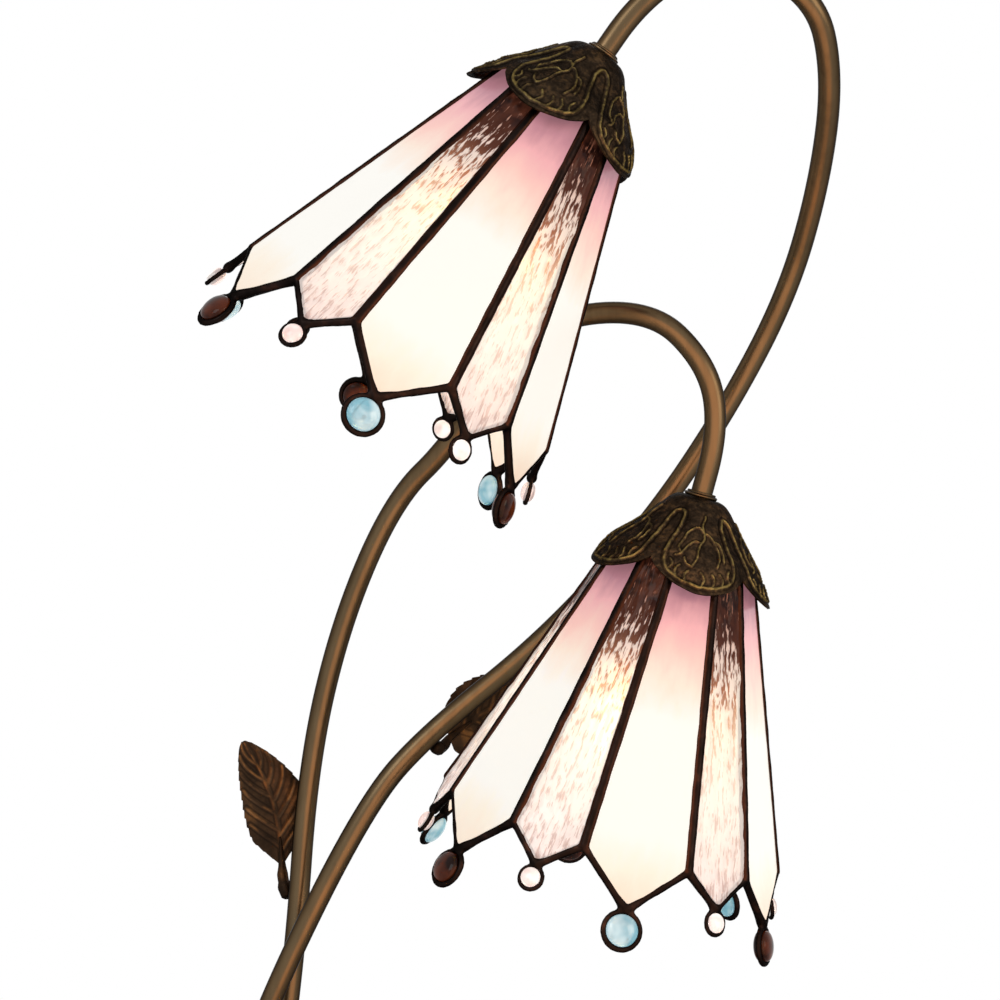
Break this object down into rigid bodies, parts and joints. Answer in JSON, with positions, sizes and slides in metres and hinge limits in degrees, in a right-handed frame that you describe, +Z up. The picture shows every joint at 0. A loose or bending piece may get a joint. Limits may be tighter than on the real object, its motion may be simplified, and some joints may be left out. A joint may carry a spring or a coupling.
{
  "type": "table lamp",
  "caption": "Table lamp with two curved bronze stems, each carrying a hanging flower-shaped shade of leaded glass panes and beads.",
  "frame": {"origin": "centre of the base's underside, on the surface that the lamp stands on", "axes": "+Z up along the lamp's height, -Y towards the viewer, +X to the side that the stems reach over"},
  "size_m": [0.3453, 0.2438, 0.6054],
  "materials": {
    "cast_bronze": "cast metal with an antique bronze patina, raised edges rubbed brighter",
    "tube_bronze": "drawn tube, antique bronze lacquer, semi-gloss",
    "leaf_bronze": "pressed sheet, brown bronze with orange rubbed highlights",
    "calyx_bronze": "cast, near-black brown with raised veins rubbed to dull gold",
    "leading": "solder over copper foil, dark brown patina, slightly uneven",
    "dark_holder": "moulded lampholder, matt dark brown",
    "holder_ceramic": "unglazed steatite",
    "brass": "plain brass",
    "plate_steel": "zinc-plated sheet steel",
    "iron": "raw casting",
    "felt": "dense felt",
    "black_plastic": "moulded bushing",
    "ivory_plastic": "moulded nylon and lead sheath",
    "pink_glass": "opalescent glass, dusty pink at the top running to warm white",
    "clear_glass": "colourless glass with a drawn ripple",
    "blue_glass": "domed blue stone",
    "amber_glass": "domed dark amber stone",
    "bead_glass": "small clear bead",
    "bulb_glass": "clear bulb glass, lit",
    "filament": "lit filament rods"
  },
  "bodies": {
    "stand": {"base_pad": "felt", "bottom_plate": "plate_steel", "plate_screws": "plate_steel", "base_casting": "cast_bronze", "base_weight": "iron", "hub_cap": "cast_bronze", "cord_bushing": "black_plastic", "terminal_block": "ivory_plastic", "terminal_screws": "brass", "stem_nuts": "brass", "stem_washers": "plate_steel", "upper_stem": "tube_bronze", "lower_stem": "tube_bronze", "upper_lead": "ivory_plastic", "lower_lead": "ivory_plastic", "left_leaf": "leaf_bronze", "right_leaf": "leaf_bronze", "upper_neck_ring": "tube_bronze", "upper_calyx": "calyx_bronze", "upper_calyx_nut": "brass", "upper_holder_cap": "dark_holder", "upper_holder_skirt": "dark_holder", "upper_holder_core": "holder_ceramic", "upper_holder_shell": "brass", "upper_holder_contact": "brass", "lower_neck_ring": "tube_bronze", "lower_calyx": "calyx_bronze", "lower_calyx_nut": "brass", "lower_holder_cap": "dark_holder", "lower_holder_skirt": "dark_holder", "lower_holder_core": "holder_ceramic", "lower_holder_shell": "brass", "lower_holder_contact": "brass"},
    "upper_shade": {"upper_shade_collar": "leading", "upper_pink_panes": "pink_glass", "upper_clear_panes": "clear_glass", "upper_leading": "leading", "upper_blue_cabochons": "blue_glass", "upper_amber_cabochons": "amber_glass", "upper_clear_beads": "bead_glass"},
    "upper_ring": {"upper_shade_ring": "dark_holder"},
    "upper_bulb": {"upper_bulb_cap": "brass", "upper_bulb_glass": "bulb_glass", "upper_bulb_filament": "filament"},
    "lower_shade": {"lower_shade_collar": "leading", "lower_pink_panes": "pink_glass", "lower_clear_panes": "clear_glass", "lower_leading": "leading", "lower_blue_cabochons": "blue_glass", "lower_amber_cabochons": "amber_glass", "lower_clear_beads": "bead_glass"},
    "lower_ring": {"lower_shade_ring": "dark_holder"},
    "lower_bulb": {"lower_bulb_cap": "brass", "lower_bulb_glass": "bulb_glass", "lower_bulb_filament": "filament"}
  },
  "joints": [
    {"name": "upper_shade_turn", "type": "hinge", "parent": "stand", "child": "upper_shade", "pos_m": [0.1537, -0.068, 0.5626], "axis": [0.5707, 0, 0.8211], "continuous": true},
    {"name": "upper_ring_turn", "type": "hinge", "parent": "stand", "child": "upper_ring", "pos_m": [0.1537, -0.068, 0.5626], "axis": [0.5707, 0, 0.8211], "continuous": true},
    {"name": "upper_bulb_turn", "type": "hinge", "parent": "stand", "child": "upper_bulb", "pos_m": [0.1537, -0.068, 0.5626], "axis": [0.5707, 0, 0.8211], "continuous": true},
    {"name": "lower_shade_turn", "type": "hinge", "parent": "stand", "child": "lower_shade", "pos_m": [0.198, -0.027, 0.38], "axis": [0.2622, 0, 0.965], "continuous": true},
    {"name": "lower_ring_turn", "type": "hinge", "parent": "stand", "child": "lower_ring", "pos_m": [0.198, -0.027, 0.38], "axis": [0.2622, 0, 0.965], "continuous": true},
    {"name": "lower_bulb_turn", "type": "hinge", "parent": "stand", "child": "lower_bulb", "pos_m": [0.198, -0.027, 0.38], "axis": [0.2622, 0, 0.965], "continuous": true}
  ]
}
